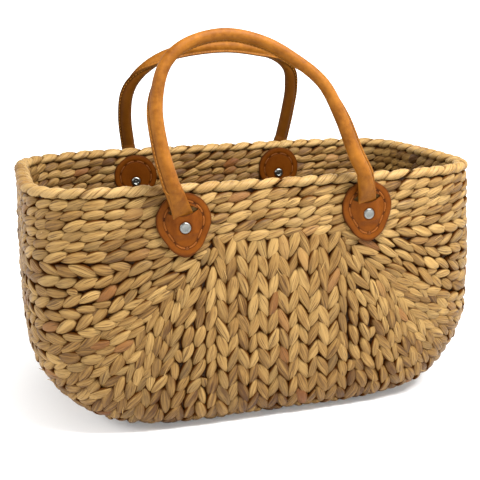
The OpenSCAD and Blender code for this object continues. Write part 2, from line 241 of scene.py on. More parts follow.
def resample(p, extra, step, closed=False):
    if closed:
        p = np.concatenate([p, p[:1]])
        extra = np.concatenate([extra, extra[:1]])
    s = arc_length(p)
    n = max(8, int(round(s[-1] / step)))
    t = np.linspace(0, s[-1], n + 1)
    if closed:
        t = t[:-1]
    return sample(t, s, p), np.interp(t, s, extra)


def smooth_along(v, reach):
    k = np.exp(-0.5 * (np.arange(-3 * reach, 3 * reach + 1) / reach) ** 2)
    k /= k.sum()
    pad = np.pad(v, ((3 * reach, 3 * reach), (0, 0)), mode="edge")
    return np.stack([np.convolve(pad[:, c], k, "valid") for c in range(v.shape[1])], 1)


# ---- Meshes ----


def make_object(name, verts, quads, tris, material, attrs):
    me = bpy.data.meshes.new(name)
    verts = np.ascontiguousarray(verts, dtype=np.float32)
    me.vertices.add(len(verts))
    me.vertices.foreach_set("co", (verts * MM).ravel())
    counts = np.concatenate([np.full(len(quads), 4), np.full(len(tris), 3)])
    flat = np.concatenate([quads.ravel(), tris.ravel()]).astype(np.int32)
    me.loops.add(len(flat))
    me.loops.foreach_set("vertex_index", flat)
    me.polygons.add(len(counts))
    me.polygons.foreach_set("loop_start", np.concatenate([[0], np.cumsum(counts)[:-1]]).astype(np.int32))
    me.update(calc_edges=True)
    for key, data in attrs.items():
        data = np.ascontiguousarray(data, dtype=np.float32)
        kind, field = ("FLOAT", "value") if data.ndim == 1 else ("FLOAT_VECTOR", "vector")
        me.attributes.new(key, kind, "POINT").data.foreach_set(field, data.ravel())
    me.polygons.foreach_set("use_smooth", np.ones(len(counts), bool))
    me.materials.append(material)
    ob = bpy.data.objects.new(name, me)
    bpy.context.scene.collection.objects.link(ob)
    return ob


class Parts:
    """Collects grids of points into one mesh."""

    def __init__(self):
        self.verts, self.quads, self.tris, self.attrs, self.n = [], [], [np.zeros((0, 3), int)], {}, 0

    def grid(self, v, close_rows=False, close_ring=True, caps=False, flip=False, **attrs):
        """v[i, j] is a grid: i along the piece, j round it."""
        a, b = v.shape[:2]
        i = np.arange(a if close_rows else a - 1)
        j = np.arange(b if close_ring else b - 1)
        ii, jj = np.meshgrid(i, j, indexing="ij")
        i2, j2 = (ii + 1) % a, (jj + 1) % b
        quads = np.stack([ii * b + jj, i2 * b + jj, i2 * b + j2, ii * b + j2], -1).reshape(-1, 4)
        self.quads.append((quads[:, ::-1] if flip else quads) + self.n)
        verts = [v.reshape(-1, 3)]
        if caps:
            # a fan of triangles from a middle point closes each end
            verts.append(np.stack([v[0].mean(0), v[-1].mean(0)]))
            here = np.arange(b)
            after, last = (here + 1) % b, (a - 1) * b
            start = np.stack([np.full(b, a * b), here, after], -1)
            end = np.stack([np.full(b, a * b + 1), last + after, last + here], -1)
            tris = np.concatenate([start, end])
            self.tris.append((tris[:, (0, 2, 1)] if flip else tris) + self.n)
        for key, data in attrs.items():
            data = np.asarray(data, dtype=np.float32)
            width = data.shape[2:]
            data = np.broadcast_to(data, (a, b) + width).reshape((-1,) + width)
            if caps:
                data = np.concatenate([data, data[:1], data[-1:]])
            self.attrs.setdefault(key, []).append(data)
        self.verts.extend(verts)
        self.n += sum(len(x) for x in verts)

    def build(self, name, material):
        attrs = {k: np.concatenate(v) for k, v in self.attrs.items()}
        parts = (np.concatenate(x) for x in (self.verts, self.quads, self.tris))
        return make_object(name, *parts, material, attrs)


def ring_angles(n):
    return 2 * np.pi * np.arange(n) / n


def capsule(parts, path, radius, sides=8, **attrs):
    """A thin tube along a path, with rounded ends."""
    along = unit(np.gradient(path, axis=0))
    guide = np.array([0.31, 0.52, 0.79])
    a = unit(np.cross(along, guide))
    b = np.cross(along, a)
    r = np.full(len(path), radius)
    r[[0, -1]] *= 0.35
    if len(path) > 4:
        r[[1, -2]] *= 0.85
    th = ring_angles(sides)[None, :, None]
    v = path[:, None, :] + r[:, None, None] * (a[:, None, :] * np.cos(th) + b[:, None, :] * np.sin(th))
    parts.grid(v, caps=True, **attrs)


# ---- Materials ----


def tinted(colour, k):
    return tuple(min(1, c * k) for c in colour)


class Shader:
    """A material in the making: each method adds a node. Sockets take numbers, colours or outputs."""

    def __init__(self, name):
        self.material = bpy.data.materials.new(name)
        self.material.use_nodes = True
        self.tree = self.material.node_tree

    def put(self, n, sockets):
        for key, value in sockets.items():
            if isinstance(value, bpy.types.NodeSocket):
                self.tree.links.new(value, n.inputs[key])
            else:
                n.inputs[key].default_value = (*value, 1) if n.inputs[key].type == "RGBA" else value

    def node(self, kind, sockets, **settings):
        n = self.tree.nodes.new(kind)
        for key, value in settings.items():
            setattr(n, key, value)
        self.put(n, sockets)
        return n

    def surface(self, sockets):
        self.put(self.tree.nodes["Principled BSDF"], sockets)
        return self.material

    def coord(self):
        """Place on the piece, in its own metres."""
        return self.node("ShaderNodeTexCoord", {}).outputs["Object"]

    def attribute(self, name, output="Fac"):
        return self.node("ShaderNodeAttribute", {}, attribute_name=name).outputs[output]

    def maths(self, operation, a, b, clamp=False):
        return self.node("ShaderNodeMath", {0: a, 1: b}, operation=operation, use_clamp=clamp).outputs[0]

    def add(self, a, b, clamp=False):
        return self.maths("ADD", a, b, clamp)

    def sub(self, a, b, clamp=False):
        return self.maths("SUBTRACT", a, b, clamp)

    def mul(self, a, b):
        return self.maths("MULTIPLY", a, b)

    def span(self, value, low, high):
        """From 0 at low to 1 at high, smoothly."""
        sockets = {"Value": value, "From Min": low, "From Max": high}
        return self.node("ShaderNodeMapRange", sockets, interpolation_type="SMOOTHSTEP").outputs["Result"]

    def ramp(self, value, *stops):
        n = self.node("ShaderNodeValToRGB", {"Fac": value})
        elements = n.color_ramp.elements
        while len(elements) < len(stops):
            elements.new(0.5)
        for element, (place_on_ramp, colour) in zip(elements, stops):
            element.position = place_on_ramp
            element.color = (*colour, 1)
        return n.outputs["Color"]

    def mix(self, colour, over, mask, share=None):
        """The colour, covered by another one by a share of the mask."""
        mask = mask if share is None else self.mul(mask, share)
        return self.node("ShaderNodeMix", {0: mask, 6: colour, 7: over}, data_type="RGBA").outputs[2]

    def noise(self, vector, scale, detail, roughness, stretch=None):
        if stretch:
            vector = self.node("ShaderNodeMapping", {"Scale": stretch, "Vector": vector}).outputs["Vector"]
        sockets = {"Scale": scale, "Detail": detail, "Roughness": roughness, "Vector": vector}
        return self.node("ShaderNodeTexNoise", sockets).outputs["Fac"]

    def bump(self, height, strength, distance, **normal):
        sockets = {"Strength": strength, "Distance": distance, "Height": height, **normal}
        return self.node("ShaderNodeBump", sockets).outputs["Normal"]


def weave_material(name, light, tan, brown, red, green):
    """Dry leaf. Attribute leaf holds tone, hue and depth, which masks painted shade; fibre holds the place
    across and along it.
    """
    sh = Shader(name)
    leaf = sh.node("ShaderNodeSeparateXYZ", {0: sh.attribute("leaf", "Vector")}).outputs
    tone, hue, depth = leaf[0], leaf[1], leaf[2]
    fibre = sh.attribute("fibre", "Vector")
    streak = sh.noise(fibre, 1.0, 3.0, 0.65, (0.62, 0.030, 1.0))
    fine = sh.noise(fibre, 1.0, 2.0, 0.5, (1.7, 0.055, 1.0))
    cloud = sh.noise(fibre, 1.0, 2.0, 0.5, (0.3, 0.05, 1.0))
    value = sh.add(tone, sh.mul(sh.sub(streak, 0.5), 1.25))
    value = sh.add(value, sh.mul(sh.sub(cloud, 0.5), 0.6), clamp=True)
    colour = sh.ramp(value, (0.05, brown), (0.42, tan), (0.85, light), (1.0, tinted(light, 1.1)))
    colour = sh.mix(colour, red, sh.span(hue, 0.93, 0.99), 0.7)
    colour = sh.mix(colour, green, sh.span(hue, 0.20, 0.02), 0.35)
    spots = sh.span(sh.noise(fibre, 1.0, 2.0, 0.6, (0.9, 0.35, 1.0)), 0.70, 0.80)
    colour = sh.mix(colour, tinted(brown, 0.35), spots, 0.6)
    # thin dark lines between the fibres; then painted shade, brown where a leaf dives under its neighbours
    # (partly the leaves' own browner edges) and near black in the gaps between them
    colour = sh.mix(colour, tinted(brown, 0.9), sh.span(fine, 0.46, 0.34), 0.78)
    colour = sh.mix(colour, tinted(brown, 0.8), sh.span(depth, 0.05, 0.55), 0.55)
    colour = sh.mix(colour, GAP_SHADE_COLOUR, sh.span(depth, 0.35, 0.95), 0.95)
    # light can't glance off the leaves where they dive under their neighbours
    shine = sh.mul(sh.sub(1.0, depth, clamp=True), 0.16)
    relief = sh.add(streak, sh.mul(fine, 0.35))
    return sh.surface({
        "Base Color": colour, "Roughness": sh.add(sh.mul(streak, 0.3), 0.36),
        "Specular IOR Level": shine, "Normal": sh.bump(relief, 0.9, 0.0016)})


def leather_material(name, light, dark, gloss):
    """One attribute darkens worn edges and paints shade in grooves, at holes and round rivets; another
    darkens and dulls a piece or part of one, as painted shade, and darkens the knot's thread.
    """
    sh = Shader(name)
    coord = sh.coord()
    cloud = sh.noise(coord, 45.0, 4.0, 0.6)
    mottle = sh.noise(coord, 210.0, 3.0, 0.6)
    grain = sh.noise(coord, 2100.0, 3.0, 0.6)
    pores = sh.node("ShaderNodeTexVoronoi", {"Scale": 950.0, "Vector": coord}, feature="DISTANCE_TO_EDGE")
    value = sh.sub(sh.add(sh.mul(cloud, 0.75), sh.mul(mottle, 0.45)), 0.1)
    between = tuple((a + b) / 2 for a, b in zip(light, dark))
    colour = sh.ramp(value, (0.28, dark), (0.52, between), (0.78, light))
    scuff = sh.span(sh.noise(coord, 420.0, 4.0, 0.7), 0.60, 0.74)
    colour = sh.mix(colour, tinted(light, 1.35), scuff, 0.15)
    # painted shade: the back handle's legs and the inner patches are darker and duller
    patina = sh.attribute("patina")
    colour = sh.mix(colour, tinted(dark, 0.45), patina, 0.9)
    # worn edges are darker, and painted shade darkens grooves, holes and the rings round the rivets
    colour = sh.mix(colour, tinted(dark, 0.30), sh.attribute("wear"), 0.85)
    gloss_share = sh.sub(1.0, sh.mul(patina, 0.75))
    normal = sh.bump(sh.span(pores.outputs["Distance"], 0.0, 0.12), 0.22, 0.00025)
    normal = sh.bump(grain, 0.25, 0.0004, Normal=normal)
    normal = sh.bump(mottle, 0.20, 0.0010, Normal=normal)
    return sh.surface({
        "Base Color": colour, "Roughness": sh.add(sh.mul(mottle, 0.25), 0.36),
        "Specular IOR Level": sh.mul(gloss_share, gloss), "Normal": normal})


def thread_material(name, colour, dark):
    sh = Shader(name)
    coord = sh.coord()
    wave = sh.node(
        "ShaderNodeTexWave", {"Scale": 900.0, "Distortion": 1.0, "Vector": coord},
        wave_type="BANDS", bands_direction="DIAGONAL").outputs["Fac"]
    shade = sh.add(sh.mul(wave, 0.6), sh.mul(sh.noise(coord, 300.0, 3.0, 0.55), 0.4))
    # painted shade darkens the inner stitches; the knot is darker
    colour = sh.mix(sh.mix(dark, colour, shade), tinted(dark, 0.5), sh.attribute("patina"))
    return sh.surface({
        "Base Color": colour, "Roughness": 0.6, "Specular IOR Level": 0.12,
        "Normal": sh.bump(wave, 0.5, 0.0003)})


def metal_material(name, light, dark):
    sh = Shader(name)
    coord = sh.coord()
    cloud = sh.noise(coord, 500.0, 4.0, 0.6)
    scratch = sh.noise(coord, 1.0, 2.0, 0.6, (9000.0, 900.0, 900.0))
    rough = sh.add(sh.mul(cloud, 0.10), sh.mul(scratch, 0.08))
    return sh.surface({
        "Base Color": sh.ramp(cloud, (0.3, dark), (0.7, light)), "Metallic": 1.0,
        "Roughness": sh.add(rough, 0.20), "Normal": sh.bump(scratch, 0.04, 0.0001)})


def dark_material(name, colour):
    sh = Shader(name)
    grain = sh.noise(sh.coord(), 400.0, 4.0, 0.6)
    return sh.surface({
        "Base Color": sh.ramp(grain, (0.3, tinted(colour, 0.5)), (0.7, colour)),
        "Roughness": 0.95, "Normal": sh.bump(grain, 0.5, 0.001)})


# painted shade in the gaps between the leaves
GAP_SHADE_COLOUR = (0.040, 0.011, 0.001)
WEAVE = weave_material(
    "dry_leaf", light=(0.268, 0.162, 0.052), tan=(0.158, 0.083, 0.0205), brown=(0.050, 0.019, 0.0030),
    red=(0.135, 0.046, 0.010), green=(0.140, 0.092, 0.033))
RIM = weave_material(
    "rim_leaf", light=(0.292, 0.184, 0.068), tan=(0.232, 0.134, 0.041), brown=(0.100, 0.043, 0.009),
    red=(0.19, 0.070, 0.018), green=(0.20, 0.135, 0.050))
CORE = dark_material("weave_shadow", (0.045, 0.017, 0.003))
PATCH_LEATHER = leather_material("patch_leather", (0.134, 0.037, 0.0020), (0.074, 0.017, 0.0008), 0.05)
HANDLE_LEATHER = leather_material("handle_leather", (0.232, 0.086, 0.0090), (0.090, 0.026, 0.0016), 0.075)
PATCH_THREAD = thread_material("patch_thread", (0.24, 0.072, 0.006), (0.09, 0.022, 0.002))
SEAM_THREAD = thread_material("seam_thread", (0.36, 0.15, 0.020), (0.14, 0.05, 0.006))
CORD = thread_material("cord_filling", (0.62, 0.55, 0.42), (0.35, 0.29, 0.20))
METAL = metal_material("nickel", (0.205, 0.208, 0.195), (0.150, 0.153, 0.142))

# ---- Twisted rows ----

STITCH = 15.3  # from one leaf of a row to the next, far from the pole
FIRST_STITCH = 19.5  # the same, beside the pole
BAND_STITCH, RIM_STITCH = 16.3, 19.0
STEP = 1.65  # between the stations of a row
LEAF_LENGTH = 1.74  # in stitches, so that the leaves overlap
LEAF_TALL = 3.3
LEAF_STEPS = 13
FAN_LEAN, BAND_LEAN, MIDDLE_LEAN = 0.34, 0.35, 0.44  # how far a leaf slants over its row, in row widths
ROPE_WIDE = 8.2
ROPE_IN, ROPE_UP = 7.0, 5.4  # the rim rope's half sizes
INNER_SHADE = 0.22
FOOT = 85.0  # leaves lower than this grow darker towards the floor
TOP_ANGLES = np.linspace(0, np.pi, 8)
LOW_ANGLES = np.linspace(np.pi, 2 * np.pi, 5)[1:-1]
SECTION = np.concatenate([TOP_ANGLES, LOW_ANGLES])


def leaf_stations(steps):
    """Places along a leaf from -1 to 1, closer together towards its tips."""
    return np.sin(np.linspace(-1, 1, steps) * np.pi / 2 * 0.985) / math.sin(np.pi / 2 * 0.985)


def lapped(n, turns, *lines):
    """A closed row with n more stations before its start and after its end, and its number of turns."""
    lap = turns[-1] + (turns[1] - turns[0]) - turns[0]
    turns = np.concatenate([turns[-n:] - lap, turns, turns[:n] + lap])
    return (lap, turns, *(np.concatenate([v[-n:], v, v[:n]]) for v in lines))


def leaf_attributes(tone, hue, depth, across, along, r):
    """What the leaf material reads, with the fibres' pattern at another place on every leaf."""
    tone, hue, r0, r1, r2 = (v[:, None, None] for v in (tone, hue, *r.T))
    leaf = np.broadcast_arrays(tone, hue, depth)
    fibre = np.broadcast_arrays(across + 900 * r0, along + 700 * r1, 300 * r2, depth)
    return np.stack(leaf, -1), np.stack(fibre[:3], -1)


def leaf_row(parts, centre, normal, turns, width, sigma, seed, lean, closed=False, tone_shift=0.0):
    """A twisted row as its leaves: each lies aslant over the crest and dives under its neighbours."""
    rng = np.random.default_rng(seed)
    overlap = 20
    if closed:
        lap, turns, centre, normal, width = lapped(overlap, turns, centre, normal, width)
    along = unit(np.gradient(centre, axis=0))
    normal = unit(normal - along * (normal * along).sum(1, keepdims=True))
    across = np.cross(normal, along)
    arc = arc_length(centre)
    x = leaf_stations(LEAF_STEPS)[None, :]
    cv, cu = np.cos(SECTION), np.sin(SECTION)
    cv = np.sign(cv) * np.abs(cv) ** 0.9
    cu = np.where(cu > 0, cu, 0.75 * cu)
    for face in (1, -1):
        if closed:
            spots = np.arange(round(lap)) + (0.5 if face > 0 else 1.0) + math.floor(turns[overlap])
        else:
            spots = np.arange(math.floor(turns[0]), math.ceil(turns[-1]) + 1) + 0.5
            spots = spots[(spots > turns[0] + 0.02) & (spots < turns[-1] - 0.02)]
        k = len(spots)
        if not k:
            continue
        r = rng.random((k, 12))
        mid = np.interp(near(spots, 0.22, r[:, 0]), turns, arc)
        pitch = np.interp(spots + 0.5, turns, arc) - np.interp(spots - 0.5, turns, arc)
        w = np.maximum(np.interp(mid, arc, width), 0.85 * ROW_H)
        scale = np.clip(w / ROW_H, 0.3, 1.3)
        half_l = pitch / 2 * LEAF_LENGTH * near(1, 0.26, r[:, 1]) * (0.6 + 0.4 * np.minimum(scale, 1))
        wide = (w / 2 * 1.08 + 0.5) * near(1, 0.24, r[:, 2])
        tall = LEAF_TALL * near(1, 0.26, r[:, 3]) * (0.5 + 0.5 * np.minimum(scale, 1))
        crest = near(2.75, 1.1, r[:, 4])
        offset = w * lean * near(1, 0.8, r[:, 5]) * sigma * face
        roll = near(0, 0.50, r[:, 6])
        twist = near(0.34, 0.30, r[:, 7])
        bend = near(0, 1.3, r[:, 8])
        taper = np.maximum(1 - np.abs(x + 0.12 * (1 - x * x)) ** 2.05, 0)
        tw = wide[:, None] * (taper + 0.03)
        tt = tall[:, None] * (np.maximum(1 - np.abs(x) ** 2.6, 0) ** 0.55 + 0.03)
        base = crest[:, None] - 2.3 * np.abs(x) ** 3
        side = offset[:, None] * np.sin(np.pi / 2 * np.clip(x, -1, 1))
        side = side + (bend * wide * 0.35)[:, None] * (x**2 - 0.4)
        slope = np.arctan2(offset[:, None] * np.pi / 2 * np.cos(np.pi / 2 * x), half_l[:, None])
        tilt = roll[:, None] - sigma * face * twist[:, None] * x
        v = cv[None, None, :] * tw[..., None]
        d = mid[:, None, None] + half_l[:, None, None] * x[..., None] - v * np.sin(slope)[..., None]
        b = side[..., None] + v * np.cos(slope)[..., None]
        h = base[..., None] + cu[None, None, :] * tt[..., None] + v * np.tan(tilt)[..., None]
        d = np.clip(d, arc[0] - 3, arc[-1] + 3)
        extra = np.where(d < arc[0], d - arc[0], np.where(d > arc[-1], d - arc[-1], 0))
        points = sample(d, arc, centre) + sample(d, arc, along) * extra[..., None] \
            + sample(d, arc, across) * b[..., None] + sample(d, arc, normal) * (face * h)[..., None]
        # the leaves that the basket stands on are pressed flat
        z = points[..., 2]
        points[..., 2] = np.where(z < 1, np.exp(np.minimum(z, 1) - 1), z)
        tone = near(0.54, 0.42, r[:, 9]) + near(0, 0.24, r[:, 10]) + tone_shift
        tone = np.clip(tone - (0.0 if face > 0 else INNER_SHADE), 0, 1)
        tone = tone - 0.26 * smooth((FOOT - points[:, LEAF_STEPS // 2, :, 2].mean(1)) / FOOT)
        # painted shade: darker low on the leaf, towards its ends and along its edges, where it dives under
        # its neighbours
        shade_depth = smooth((4.7 - h) / 2.8) + 0.7 * smooth((np.abs(x)[..., None] - 0.66) / 0.32) \
            + 1.05 * smooth((np.abs(cv)[None, None, :] - 0.58) / 0.36)
        leaf, fibre = leaf_attributes(
            tone, r[:, 11], np.clip(shade_depth, 0, 1), cv * 4.2, half_l[:, None, None] * x[..., None], r[:, :3])
        for i in range(k):
            parts.grid(points[i], caps=True, flip=face > 0, leaf=leaf[i], fibre=fibre[i])
            if face > 0 and r[i, 0] * 997 % 1 < 0.045 and points[i, LEAF_STEPS // 2, 2, 2] > 20:
                # a split fibre stands off the leaf
                t = np.linspace(0, 1, 8)[:, None]
                q = points[i, LEAF_STEPS // 2, 2:5].mean(0)
                ahead, beside, out = (sample(mid[i], arc, v) for v in (along, across, normal))
                way = unit(ahead + near(0, 1.3, r[i, 7]) * beside)
                path = q + way * (5 + 6 * r[i, 1]) * t + out * (0.2 + (1.0 + 2.0 * r[i, 2]) * t * t) \
                    + beside * near(0, 2.5, r[i, 3]) * t**3
                capsule(parts, path, 0.34, 5, leaf=[[[0.85, 0.5, 0.0]]], fibre=[[[9.0, 4.0, 7.0]]])


def rope_row(parts, centre, normal, turns, half_n, half_z, seed, tone_shift):
    """A closed rope of two strands, seen as plump leaves: over the outside and top, and over the inside."""
    rng = np.random.default_rng(seed)
    overlap = 40
    lap, turns, centre, normal = lapped(overlap, turns, centre, normal)
    arc = arc_length(centre)
    x = leaf_stations(LEAF_STEPS + 4)[None, :]
    cv, cu = np.cos(SECTION), np.sin(SECTION)
    cu = np.where(cu > 0, cu, 0.6 * cu)
    for start, lean in ((0.0, 0.35), (0.5, math.pi + 0.35)):
        spots = np.arange(round(lap)) + start + math.floor(turns[overlap])
        r = rng.random((len(spots), 12))
        mid = np.interp(near(spots, 0.14, r[:, 0]), turns, arc)
        pitch = np.interp(spots + 0.5, turns, arc) - np.interp(spots - 0.5, turns, arc)
        wrap = np.radians(near(132, 16, r[:, 1]))
        half_l = pitch * wrap / np.pi * 1.02
        angle = lean + wrap[:, None] * x + near(0, 0.3, r[:, 2])[:, None]
        radius = 0.50 - 0.28 * np.abs(x) ** 3.2 + near(0, 0.05, r[:, 3])[:, None]
        wide = (ROPE_WIDE * near(1, 0.16, r[:, 4]))[:, None]
        wide = wide * (np.maximum(1 - np.abs(x) ** 2.4, 0) ** 0.75 + 0.03)
        tall = (0.55 * near(1, 0.16, r[:, 5]))[:, None]
        tall = tall * (np.maximum(1 - np.abs(x) ** 3, 0) ** 0.5 + 0.03)
        # across the leaf is mostly along the rope, and partly round it
        slant = np.arctan2(half_n * 0.8 * wrap, half_l)[:, None, None]
        v = cv[None, None, :] * wide[..., None]
        d = mid[:, None, None] + half_l[:, None, None] * x[..., None] - v * np.sin(slant)
        phi = angle[..., None] + v * np.cos(slant) / (0.8 * half_n)
        rho = radius[..., None] + cu[None, None, :] * tall[..., None] - 0.10 * (v / ROPE_WIDE) ** 2
        points = sample(d, arc, centre) + sample(d, arc, normal) * (half_n * rho * np.cos(phi))[..., None]
        points[..., 2] += half_z * rho * np.sin(phi)
        tone = np.clip(near(0.55, 0.50, r[:, 6]) + near(0, 0.25, r[:, 7]) + tone_shift, 0, 1)
        # painted shade: darker where a leaf sinks into the rope and along its edges
        shade_depth = smooth((0.80 - rho) / 0.45) + 0.55 * smooth((np.abs(cv) - 0.75) / 0.25)
        leaf, fibre = leaf_attributes(
            tone, r[:, 8], np.clip(shade_depth, 0, 1), cv * 4.8, half_l[:, None, None] * x[..., None], r[:, 9:])
        for i in range(len(spots)):
            parts.grid(points[i], caps=True, flip=True, leaf=leaf[i], fibre=fibre[i])


def strand(parts, x, z, width, sigma, seed, lean, mirrored=False):
    """One row from the front to the back, from its front-view points."""
    keep = width > 2.0
    start = int(np.argmax(keep))
    path, w = side_to_side(x, z, width)
    # measure the twist from the pole, so that neighbouring rows stay in step
    lead = np.hypot(np.diff(x[: start + 1]), np.diff(z[: start + 1])).sum() if start else 0.0
    full = arc_length(path)
    cut = (full >= lead) & (full <= full[-1] - lead)
    skin, w = resample(path[cut], w[cut], STEP)
    n = unit(smooth_along(skin_normal(skin), 3))
    centre = smooth_along(skin - WALL / 2 * n, 2)
    arc = arc_length(centre)
    away = np.minimum(arc, arc[-1] - arc) + lead
    rate = 1 / (STITCH + (FIRST_STITCH - STITCH) * np.exp(-((away / 95) ** 2)))
    turns = np.concatenate([[0], np.cumsum((rate[1:] + rate[:-1]) / 2 * np.diff(arc))]) + lead / FIRST_STITCH
    whole = turns[-1] + lead / FIRST_STITCH
    turns = turns / whole * max(2, round(whole / 2) * 2)
    rng = np.random.default_rng(seed + 5000)
    turns = turns + 0.07 * np.sin(arc / 31 + 6.28 * rng.random()) + near(0, 0.12, rng.random())
    if mirrored:
        centre, n, sigma = centre * (-1, 1, 1), n * (-1, 1, 1), -sigma
    leaf_row(parts, centre, n, turns, w, sigma, seed, lean)


def ring_line(z, stitch, seed):
    """Centre line, outward normals and turns of a level row round the mouth."""
    p = outline(ring_angles(1440), z, WALL / 2)
    length = arc_length(np.concatenate([p, p[:1]]))[-1]
    turns = int(round(length / stitch / 2)) * 2
    per = int(round(stitch / STEP))
    centre, _ = resample(p, p[:, 2], length / (turns * per), closed=True)
    along = unit(np.roll(centre, -1, 0) - np.roll(centre, 1, 0))
    n = np.cross(along, (0, 0, 1))
    rng = np.random.default_rng(seed)
    k = np.arange(len(centre)) / len(centre)
    wobble = sum(np.sin(2 * np.pi * (f * k + rng.random())) * 0.22 for f in (7, 13, 23))
    drift = sum(np.sin(2 * np.pi * (f * k + rng.random())) for f in (5, 11, 17)) * 0.18
    # neighbouring rows keep in step, so their leaf ends stand in columns
    turn = turns * k + 0.22 * rng.random() + 0.35 * drift
    return centre + n * (1, 1, 0) * wobble[:, None], n, turn


# the first row of each group of fan rows, from the top, and the names of the groups
FAN_SPLIT = (0, 10, 18, FAN_ROWS)
FAN_NAMES = ("end_upper", "end_corner", "base")
MIDDLE_GROUPS = {
    "middle_left": range(0, 4), "middle_centre": range(4, 8), "middle_right": range(8, MIDDLE_ROWS)}
RIM_SEED, BAND_SEED, FAN_SEED, MIDDLE_SEED = 11, 20, 100, 200


def weave():
    made = []
    rim = Parts()
    rope_row(rim, *ring_line(BODY_H - 5.0, RIM_STITCH, RIM_SEED), ROPE_IN, ROPE_UP, RIM_SEED, 0.06)
    made.append(("rim_rope", rim, RIM))
    for k in range(BAND_ROWS):
        band, seed = Parts(), BAND_SEED + k
        centre, n, turn = ring_line(BAND_TOP - (k + 0.5) * ROW_H, BAND_STITCH, seed)
        width = np.full(len(turn), ROW_H * 1.03)
        leaf_row(band, centre, n, turn, width, 1, seed, BAND_LEAN, closed=True, tone_shift=0.04)
        made.append((f"band_row_{k + 1}", band, WEAVE))
    t, places, widths = fan_layout()
    for label, mirrored in (("left", False), ("right", True)):
        for group, first, end in zip(FAN_NAMES, FAN_SPLIT, FAN_SPLIT[1:]):
            parts = Parts()
            for i in range(first, end):
                x, z = fan_surface(places[:, i], t)
                seed = FAN_SEED + i + 50 * mirrored
                strand(parts, x, z, widths[:, i], 1 if i % 2 == 0 else -1, seed, FAN_LEAN, mirrored)
            made.append((f"{label}_{group}", parts, WEAVE))
    gap = 2 * POLE_X / MIDDLE_ROWS
    for name, rows in MIDDLE_GROUPS.items():
        parts = Parts()
        for i in rows:
            z = np.linspace(FAN_TOP + 5, 0, 120)
            x, width = np.full_like(z, -POLE_X + gap * (i + 0.5)), np.full_like(z, gap * 1.02)
            strand(parts, x, z, width, 1 if i % 2 == 0 else -1, MIDDLE_SEED + i, MIDDLE_LEAN)
        made.append((name, parts, WEAVE))
    for name, parts, material in made:
        ob = parts.build(f"woven_{name}", material)
        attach(ob, "basket")
        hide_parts(name)


def core_sheet():
    """Dark sheet between the rows, partly the warp and partly painted shade, which keeps light from passing
    through the wall.
    """
    parts = Parts()
    a = ring_angles(160)
    bend = 34.0  # where the wall starts to round into the base

    def side(off):
        out = [outline(a, z, off) for z in np.linspace(BODY_H - 8, bend, 26)]
        for k in np.linspace(0, 1, 14)[1:]:
            # round into the base along the skin's normal
            p = outline(a, bend * (1 - k) ** 1.6, 0)
            n = skin_normal(np.concatenate([p[:, :2] * 0.999, np.maximum(p[:, 2:], 0.4)], 1))
            out.append(p - off * n)
        last = out[-1]
        for k in (0.8, 0.55, 0.3, 0.05):
            out.append(np.stack([last[:, 0] * k, last[:, 1] * k, np.full_like(a, last[:, 2].min())], 1))
        return out

    outer, inner = side(WALL / 2 - 0.7), side(WALL / 2 + 0.7)
    parts.grid(np.array(outer + inner[::-1]), close_rows=True, flip=True)
    ob = parts.build("warp_and_shade_sheet", CORE)
    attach(ob, "basket")


weave()
core_sheet()

# ---- Leather fixings, in each rivet's own frame: x along the wall, y up, z outward ----

EGG_TOP, EGG_LOW, EGG_C_TOP, EGG_C_LOW = 25.0, 18.5, 6.0, -7.5
TILT = math.radians(2)
SKIN_GAP = 0.4
PATCH_TURN = math.radians(4)
LIP_Y = 11.0  # lower edge of the slot that the strap comes out of
SLOT_HALF = 13.6
SLOT_TOP = 19.6
SEAM_INSET = 7.0  # of the stitches from the patch's edge
STITCHES = 10
HOLE_GAP = 1.1  # from a stitch's end to the middle between two stitches
# painted shade on the inner patches and their stitches
INNER_PATCH_SHADE = 0.6


def rivet_frame(side, end, turned=False):
    """Centre and axes of one fixing; the front patches sit turned a little by the pull of their straps."""
    skin = float(front_y(np.array(RIVET_X), np.array(RIVET_Z)))
    o = np.array([end * RIVET_X, side * (skin + SKIN_GAP), RIVET_Z])
    ex = np.array([-side, 0, 0.0])
    ey = np.array([0, -side * math.sin(TILT), math.cos(TILT)])
    ez = np.array([0, side * math.cos(TILT), math.sin(TILT)])
    if turned and side < 0:
        c, s = math.cos(PATCH_TURN), math.sin(PATCH_TURN)
        ex, ey = ex * c + ey * s, ey * c - ex * s
    return o, ex, ey, ez


def place(points, f):
    o, ex, ey, ez = f
    return o + points[..., 0:1] * ex + points[..., 1:2] * ey + points[..., 2:3] * ez


def inward(h):
    """Heights over the outer skin turned into the inner patch's, which faces the other way."""
    return -h - WALL - 0.2


def egg_distance(x, y):
    """Signed distance to the egg outline, negative inside."""
    gap = EGG_C_TOP - EGG_C_LOW
    sn = (EGG_TOP - EGG_LOW) / gap
    cs = math.sqrt(1 - sn * sn)
    x = np.abs(x)
    s = x * sn + (y - EGG_C_LOW) * cs
    top = np.hypot(x, y - EGG_C_TOP) - EGG_TOP
    bottom = np.hypot(x, y - EGG_C_LOW) - EGG_LOW
    flank = x * cs - (y - EGG_C_LOW) * sn - EGG_LOW
    return np.where(s < 0, bottom, np.where(s > gap * cs, top, flank))


def egg_radius(theta, cy, inset):
    """Distance from (0, cy) to the egg outline, pulled in by the inset, at each angle."""
    fits = lambda r: egg_distance(r * np.cos(theta), cy + r * np.sin(theta)) < -inset
    return farthest(fits, np.zeros_like(theta), np.full_like(theta, 60.0))


